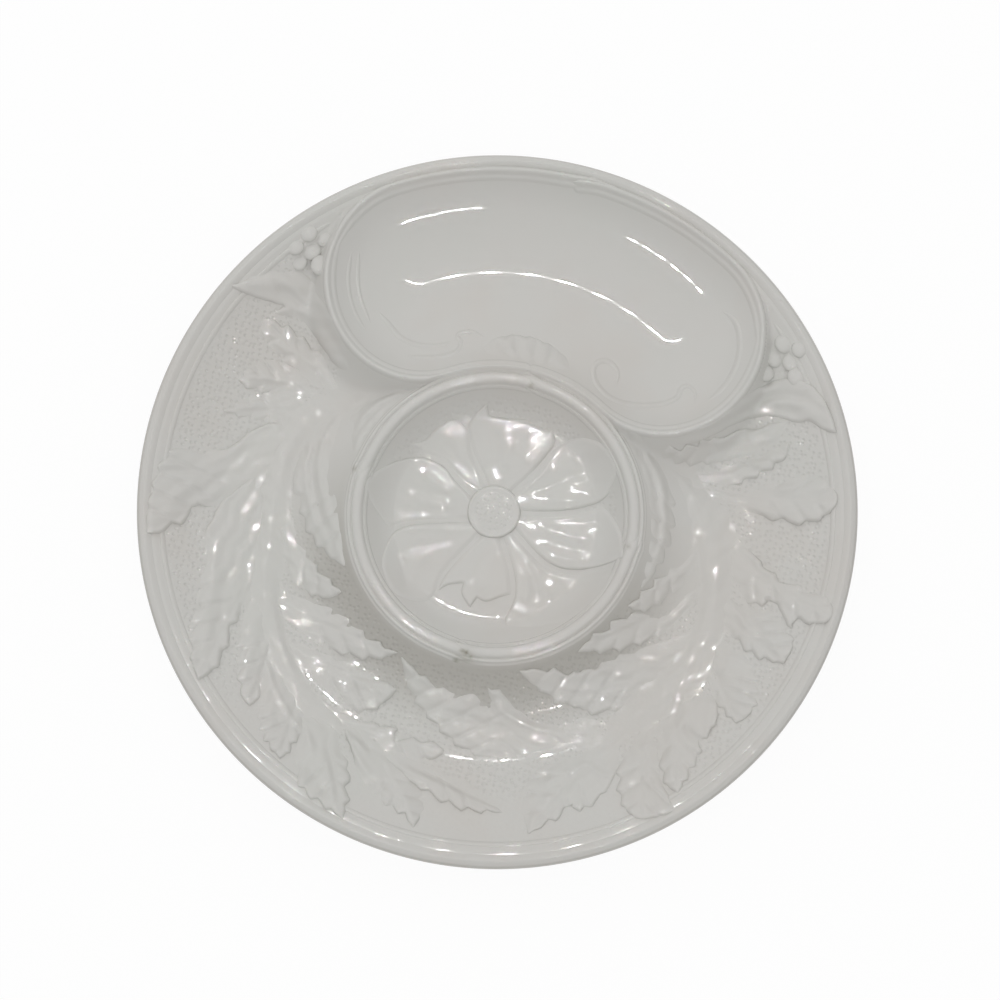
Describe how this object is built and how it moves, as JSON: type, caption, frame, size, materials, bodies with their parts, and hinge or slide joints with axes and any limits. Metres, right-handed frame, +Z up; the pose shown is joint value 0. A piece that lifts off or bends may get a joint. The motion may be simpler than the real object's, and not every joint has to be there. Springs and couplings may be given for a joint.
{
  "type": "artichoke plate",
  "caption": "Round white glazed earthenware plate with a cup for an artichoke, a bean-shaped dip well and a trough for pulled leaves, with acanthus relief.",
  "frame": {"origin": "middle of the plate on the table, under the centre of its rim", "axes": "+Z up, +Y from the cup towards the dip well, +X to the right seen from the cup's side"},
  "size_m": [0.254, 0.254, 0.0264],
  "materials": {
    "glaze": "glossy white glaze",
    "bare_clay": "unglazed fired clay"
  },
  "bodies": {
    "root": {"plate_body": "glaze", "foot_ring": "bare_clay", "rim_bead": "glaze", "rim_line": "glaze", "cup_reed_1": "glaze", "cup_reed_2": "glaze", "cup_reed_3": "glaze", "cup_reed_4": "glaze", "flower_disc": "glaze", "flower_petal_1": "glaze", "flower_petal_2": "glaze", "flower_petal_3": "glaze", "flower_petal_4": "glaze", "flower_petal_5": "glaze", "flower_petal_6": "glaze", "flower_petal_7": "glaze", "flower_petal_8": "glaze", "dip_rim_far_left": "glaze", "dip_rim_near_left": "glaze", "dip_rim_far_right": "glaze", "dip_rim_near_right": "glaze", "dip_scroll_left": "glaze", "dip_scroll_right": "glaze", "dip_shell": "glaze", "left_stem": "glaze", "husk_left": "glaze", "left_outer_leaf_1": "glaze", "left_outer_leaf_2": "glaze", "left_outer_leaf_3": "glaze", "left_outer_leaf_4": "glaze", "left_outer_leaf_5": "glaze", "left_outer_leaf_6": "glaze", "left_outer_leaf_7": "glaze", "left_outer_leaf_8": "glaze", "left_outer_leaf_9": "glaze", "left_outer_leaf_10": "glaze", "left_inner_leaf_1": "glaze", "left_inner_leaf_2": "glaze", "left_inner_leaf_3": "glaze", "left_inner_leaf_4": "glaze", "left_inner_leaf_5": "glaze", "right_stem": "glaze", "husk_right": "glaze", "right_outer_leaf_1": "glaze", "right_outer_leaf_2": "glaze", "right_outer_leaf_3": "glaze", "right_outer_leaf_4": "glaze", "right_outer_leaf_5": "glaze", "right_outer_leaf_6": "glaze", "right_outer_leaf_7": "glaze", "right_outer_leaf_8": "glaze", "right_outer_leaf_9": "glaze", "right_inner_leaf_1": "glaze", "right_inner_leaf_2": "glaze", "right_inner_leaf_3": "glaze", "right_inner_leaf_4": "glaze", "right_inner_leaf_5": "glaze", "berries_left": "glaze", "berries_right": "glaze"}
  },
  "joints": []
}
